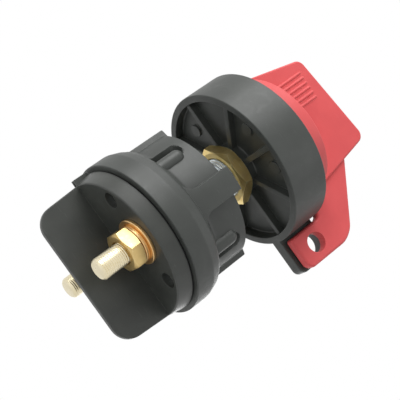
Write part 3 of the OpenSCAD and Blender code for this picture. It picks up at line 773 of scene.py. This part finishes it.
def make_terminal_base():
    """The end disc with its partition, key and screw holes."""
    plug_r, plug_z = 32.0, -56.0
    side = rounded([(0, plug_z, 0), (plug_r, plug_z, 0.3), (plug_r, RIM_Z, 0), (BASE_R, RIM_Z, 0.3),
                    (BASE_END_R, BASE_END_Z, 0.8), (0, BASE_END_Z, 0)])
    side = side[:-1]
    rim_r = side[-1][0]
    base = swept(side, False, 192)
    make_base_end(base, rim_r)
    cleaned(base, 1e-3)
    whole = bmesh.new()
    add(whole, base)
    end_half, corner_r, half_t = BASE_END_R - 1.5, 9.0, 1.5
    wall = rounded([
        (-BASE_END_R, BASE_END_Z + 1, 0), (-end_half, PARTITION_END_Z, corner_r),
        (end_half, PARTITION_END_Z, corner_r), (BASE_END_R, BASE_END_Z + 1, 0)], 12)
    add(whole, plate(wall, -half_t, half_t, 0.5))
    for y in (-half_t, half_t - 1):
        fin = block((end_half, y, BASE_END_Z), (BASE_R + 1.4, y + 1.0, RIM_Z - 0.1), 0.2)
        add(whole, fin, 180)
    piece("base_with_partition", whole, "housing", "base_plastic", BASE_PLASTIC, "terminal_base")


def make_stud(name, node, side):
    """An M10 stud: a threaded free end, a plain shank in the nut, and a square head inside."""
    low, high = extent(node)
    nut_end = extent("terminal_nuts")[0].z
    whole = bmesh.new()
    shank_r, head_half, head_t = 4.75, 7, 5
    shank_low, shank_high = nut_end + 1.0, high.z - head_t + 1
    shank = [(0, shank_low), (shank_r, shank_low), (shank_r, shank_high), (0, shank_high)]
    add(whole, threaded_rod(STUD_R, low.z, nut_end + 1.5, 0.9))
    add(whole, lathe(shank, False, 64))
    add(whole, block((-head_half, -head_half, high.z - head_t), (head_half, head_half, high.z), 0.4))
    bmesh.ops.translate(whole, vec=(0, side * STUD_Y, 0), verts=whole.verts[:])
    piece(name, whole, "housing", "stud_brass", PALE_BRASS, node)


def make_terminal_hardware():
    """Nuts, split spring washers and flat washers on both studs."""
    low, high = extent("terminal_nuts")
    nuts, springs, flats = bmesh.new(), bmesh.new(), bmesh.new()
    spring_low, spring_high = extent("spring_washers")
    flat_low, flat_high = extent("terminal_washers")
    hole_r, spring_r, flat_r = 5.2, 9.0, 10.8
    ring = rounded([(hole_r, spring_low.z, 0.3), (spring_r, spring_low.z, 0.3),
                    (spring_r, spring_high.z, 0.3), (hole_r, spring_high.z, 0.3)], 3)
    disc = rounded([(hole_r, flat_low.z, 0.2), (flat_r, flat_low.z, 0.45),
                    (flat_r, flat_high.z, 0.25), (hole_r, flat_high.z, 0.2)], 4)
    for side in (-1, 1):
        shift = (0, side * STUD_Y, 0)
        add(nuts, nut_shell(17.0, STUD_R + 0.1, low.z, high.z, 33), 0, shift)
        split = swept(ring, True, 92, math.radians(355), start=math.radians(202.5))
        bmesh.ops.holes_fill(split, edges=boundary(split), sides=0)
        add(springs, cleaned(split), 0, shift)
        add(flats, lathe(disc, True, 96), 0, shift)
    piece("hexagon_nuts", nuts, "housing", "nut_brass", BRIGHT_BRASS, "terminal_nuts", crease=22.0)
    piece("split_washers", springs, "housing", "washer_bronze", WASHER_BRONZE, "spring_washers")
    piece("flat_washers", flats, "housing", "washer_bronze", WASHER_BRONZE, "terminal_washers")


def make_neck():
    """The M20 neck: a long thread, a shaft bore and a flange inside the housing."""
    low, high = extent("threaded_neck")
    whole = bmesh.new()
    flange_top, flange_r, bore_r, tube_r = -26.4, 13.0, 5.15, 9.0
    tube = rounded([(bore_r, low.z, 0.3), (flange_r, low.z, 0.3), (flange_r, flange_top, 0.3),
                    (tube_r, flange_top, 0), (tube_r, high.z, 0.3), (bore_r, high.z, 0.3)], 3)
    add(whole, lathe(tube, True, 96))
    add(whole, thread_sleeve(flange_top, high.z))
    piece("threaded_stem", whole, "housing", "zinc", ZINC_PLATE, "threaded_neck")


def thread_sleeve(z0, z1):
    """The neck's threaded outside, hollow so that the shaft's bore stays open."""
    inner_r = 8.6
    bm = threaded_skin(NECK_R, 0.55, 0.12, z0, z1, 1.5, 96)
    grown = bmesh.ops.extrude_edge_only(bm, edges=boundary(bm))
    for vert in [v for v in grown["geom"] if isinstance(v, bmesh.types.BMVert)]:
        scale = inner_r / math.hypot(*vert.co.xy)
        vert.co.x *= scale
        vert.co.y *= scale
    bmesh.ops.bridge_loops(bm, edges=boundary(bm))
    return cleaned(bm)


def make_panel_nut():
    """The thin hexagon nut on the neck."""
    low, high = extent("panel_nut")
    nut = nut_shell(27.2, NECK_R + 0.1, low.z, high.z, 0, 144)
    piece("thin_panel_nut", nut, "housing", "panel_brass", OLIVE_BRASS, "panel_nut", crease=22.0)


# ---- Turning pieces ----

def handle_edge(x):
    """The height of the handle's sloping top edge at x."""
    return HANDLE_TOP_Z + x * HANDLE_SLOPE


def make_handle():
    """The handle's blade, upright across the disc."""
    low_z, corner_r = DISC_TOP_Z - 1, 4.5
    outline = rounded([
        (-HANDLE_BASE_HALF, low_z, 0), (-HANDLE_TOP_HALF, handle_edge(-HANDLE_TOP_HALF), corner_r),
        (HANDLE_TOP_HALF, handle_edge(HANDLE_TOP_HALF), corner_r), (HANDLE_BASE_HALF, low_z, 0)], 10)
    return plate(outline, -HANDLE_HALF_T, HANDLE_HALF_T, 1.0, segments=4)


def make_grip_ridge():
    """One raised ridge with rounded ends, standing on the face at Y 0 and bulging towards -Y."""
    low, high, half = 44.3, 60.8, 0.75
    cap = half * 1.6
    dome = []
    for k in range(7):
        t = math.radians(90 * k / 6)
        dome.append((half * math.cos(t), high - cap + cap * math.sin(t)))
    lower = [(r, low + high - z) for r, z in reversed(dome)]
    return lathe(lower + dome, False, 20)


def make_knob():
    """The red knob: disc, handle, ridges, padlock lug, hub and the tongue that meets the stops."""
    whole = bmesh.new()
    inner_r, under_z = 28.0, DISC_TOP_Z - 3
    disc = rounded([(0, DISC_TOP_Z, 0), (DISC_TOP_R, DISC_TOP_Z, 1.1), (DISC_R, KNOB_Z, 0.5),
                    (inner_r, KNOB_Z, 0.4), (inner_r, under_z, 1.0), (0, under_z, 0)])
    add(whole, lathe(disc, False, 192))
    bore_r, bore_low_z = 4.15, 36.5
    bore = [(0, bore_low_z), (bore_r, bore_low_z), (bore_r, HANDLE_TOP_Z - 1.2), (4.75, HANDLE_TOP_Z + 0.4),
            (5.4, HANDLE_TOP_Z + 3), (0, HANDLE_TOP_Z + 3)]
    add(whole, carved(make_handle(), lathe(bore, False, 64)))
    first_ridge, ridge_step = -HANDLE_TOP_HALF + 5.4, 2.75
    for turn in (0, 180):
        for i in range(6):
            at = (first_ridge + i * ridge_step, -HANDLE_HALF_T + 0.2, 0)
            add(whole, make_grip_ridge(), turn, at)
    lug_inner_x, lug_root_x, lug_low_z, notch_z = 41.6, 27.0, 1.8, KNOB_Z + 1
    lug = rounded([
        (lug_root_x, DISC_TOP_Z, 0), (25.5, 55.7, 0), (LUG_REACH - 3.2, 33.6, 12), (LUG_REACH, 27.5, 12),
        (LUG_REACH - 0.2, lug_low_z, 4), (lug_inner_x, lug_low_z, 1.5), (lug_inner_x, notch_z, 2.5),
        (lug_root_x, notch_z, 0)], 12)
    add(whole, plate(lug, -5.0, 0.2, 1.5, LOCK_HOLE, 5))
    root_z = 30.2
    hub = rounded([(4.2, 16.1, 0.3), (10.0, 16.1, 0.5), (10.0, root_z + 0.3, 0), (4.2, root_z + 0.3, 0)], 3)
    add(whole, lathe(hub, True, 64))
    add(whole, block((23.0, -TONGUE_HALF, 18.6), (27.0, TONGUE_HALF, root_z), 0.4), 180)
    add(whole, block((26.0, -TONGUE_HALF, 21.7), (28.5, TONGUE_HALF, root_z), 0.3), 180)
    piece("red_knob", whole, "rotor", "red_plastic", RED_PLASTIC, "knob")


def make_screw_cap():
    """The cap over the knob's screw, with a shallow dish in its end."""
    low, high = extent("knob_cap")
    cap_r, dish_z = 4.05, high.z - 0.5
    dish = rounded([
        (0, low.z, 0), (cap_r, low.z, 0.2), (cap_r, high.z, 0.5), (1.2, dish_z, 1.0), (0, dish_z, 0)], 4)
    piece("screw_cap", lathe(dish, False, 64), "rotor", "red_plastic", RED_PLASTIC, "knob_cap")


# ---- Inner CAD nodes that stay as they are ----

def dress_inner_nodes():
    """Gives every carried-over CAD node its material from a fixed table."""
    finishes = {
        "base_gasket": SEAL_RUBBER, "shaft_seal": SEAL_RUBBER, "base_screws": STEEL,
        "fixed_contacts": CONTACT_SILVER, "bridge_contacts": CONTACT_SILVER, "lock_washer": STEEL,
        "front_nut": OLIVE_BRASS, "index_plate": STEEL, "knob_screw": STEEL, "shaft": ZINC_PLATE,
        "thrust_washer": CARRIER_PLASTIC, "rotor_carrier": CARRIER_PLASTIC,
        "retaining_ring": SPRING_STEEL, "contact_spring": SPRING_STEEL, "detent_springs": SPRING_STEEL,
        "drive_pin": STEEL, "detent_balls": STEEL, "contact_bridge": BRIDGE_COPPER}
    for name, material in finishes.items():
        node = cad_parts[name]
        node.data.materials.clear()
        node.data.materials.append(material)


# ---- Stage ----

AMBIENT = 0.45
FLOOR_Z = -1.0


def ray_mask(tree):
    """1 for what the camera, a reflection or a see-through surface looks at directly."""
    path = tree.nodes.new("ShaderNodeLightPath")
    first = add_node(tree, "ShaderNodeMath", operation="MAXIMUM")
    second = add_node(tree, "ShaderNodeMath", operation="MAXIMUM")
    tree.links.new(path.outputs["Is Camera Ray"], first.inputs[0])
    tree.links.new(path.outputs["Is Glossy Ray"], first.inputs[1])
    tree.links.new(first.outputs["Value"], second.inputs[0])
    tree.links.new(path.outputs["Is Transmission Ray"], second.inputs[1])
    return second.outputs["Value"]


def make_floor():
    """A wide pale floor well below the part, which keeps the part's shadow."""
    bm = bmesh.new()
    bmesh.ops.create_grid(bm, x_segments=12, y_segments=12, size=4.0)
    bmesh.ops.translate(bm, vec=(0, 0, FLOOR_Z), verts=bm.verts[:])
    mesh = bpy.data.meshes.new("pale_floor")
    bm.to_mesh(mesh)
    bm.free()
    floor = bpy.data.objects.new("pale_floor", mesh)
    bpy.context.scene.collection.objects.link(floor)
    material = bpy.data.materials.new("pale_floor")
    material.use_nodes = True
    tree = material.node_tree
    shader = tree.nodes["Principled BSDF"]
    shader.inputs["Base Color"].default_value = (0.86, 0.86, 0.86, 1)
    shader.inputs["Roughness"].default_value = 0.9
    glow = add_node(tree, "ShaderNodeEmission", Color=(1, 1, 1, 1), Strength=1.0)
    blend = tree.nodes.new("ShaderNodeMixShader")
    tree.links.new(scaled(tree, ray_mask(tree), 0.85), blend.inputs["Fac"])
    tree.links.new(shader.outputs["BSDF"], blend.inputs[1])
    tree.links.new(glow.outputs["Emission"], blend.inputs[2])
    tree.links.new(blend.outputs["Shader"], tree.nodes["Material Output"].inputs["Surface"])
    mesh.materials.append(material)


def make_world():
    """A white surround to look at, with a softer level for the light that it gives."""
    world = bpy.data.worlds.new("studio")
    bpy.context.scene.world = world
    world.use_nodes = True
    tree = world.node_tree
    tree.nodes.clear()
    light = add_node(tree, "ShaderNodeBackground", Color=(1.0, 1.0, 1.0, 1), Strength=AMBIENT)
    white = add_node(tree, "ShaderNodeBackground", Color=(1.0, 1.0, 1.0, 1), Strength=1.0)
    blend = tree.nodes.new("ShaderNodeMixShader")
    end = tree.nodes.new("ShaderNodeOutputWorld")
    tree.links.new(ray_mask(tree), blend.inputs["Fac"])
    tree.links.new(light.outputs["Background"], blend.inputs[1])
    tree.links.new(white.outputs["Background"], blend.inputs[2])
    tree.links.new(blend.outputs["Shader"], end.inputs["Surface"])


def make_lamp(name, direction, distance, size, power):
    """A square soft lamp that points at the middle of the part."""
    data = bpy.data.lights.new(name, "AREA")
    data.shape = "SQUARE"
    data.size = size
    data.energy = power
    lamp = bpy.data.objects.new(name, data)
    bpy.context.scene.collection.objects.link(lamp)
    towards = Vector(direction).normalized()
    lamp.location = Vector((0, 0, -0.015)) + towards * distance
    lamp.rotation_euler = towards.to_track_quat("Z", "Y").to_euler()


def make_camera():
    """Looks up at the part from below its front, rolled by about 54 degrees."""
    aim = Vector((2.1, 0.0, -22.0)) * MM
    distance = 499.5 * MM
    sideways, climb, roll = math.radians(1.94), math.radians(28.98), math.radians(53.6)
    ahead = Vector((
        math.sin(sideways) * math.cos(climb), math.cos(sideways) * math.cos(climb), math.sin(climb)))
    level = Vector((math.cos(sideways), -math.sin(sideways), 0.0))
    lift = level.cross(ahead)
    right = level * math.cos(roll) + lift * math.sin(roll)
    up = right.cross(ahead)
    data = bpy.data.cameras.new("main_camera")
    data.lens = 99.0
    data.sensor_width = 36.0
    data.clip_start = 0.01
    camera = bpy.data.objects.new("main_camera", data)
    bpy.context.scene.collection.objects.link(camera)
    turn = Matrix((right, up, -ahead)).transposed().to_4x4()
    camera.matrix_world = Matrix.Translation(aim - ahead * distance) @ turn
    bpy.context.scene.camera = camera


make_bezel()
make_body_shell()
make_terminal_base()
make_stud("front_stud", "front_terminal_stud", -1)
make_stud("rear_stud", "rear_terminal_stud", 1)
make_terminal_hardware()
make_neck()
make_panel_nut()
make_knob()
make_screw_cap()
dress_inner_nodes()

make_floor()
make_world()
make_lamp("key_lamp", (-0.72, -0.50, 0.48), 1.2, 0.9, 13.5)
make_lamp("side_lamp", (0.46, -0.50, 0.73), 1.3, 0.7, 1.5)
make_lamp("low_lamp", (-0.45, -0.45, -0.77), 1.3, 0.6, 4.0)
make_lamp("back_lamp", (0.25, 0.90, 0.45), 1.4, 0.9, 6.0)
make_camera()
bpy.context.scene.view_settings.view_transform = "Standard"
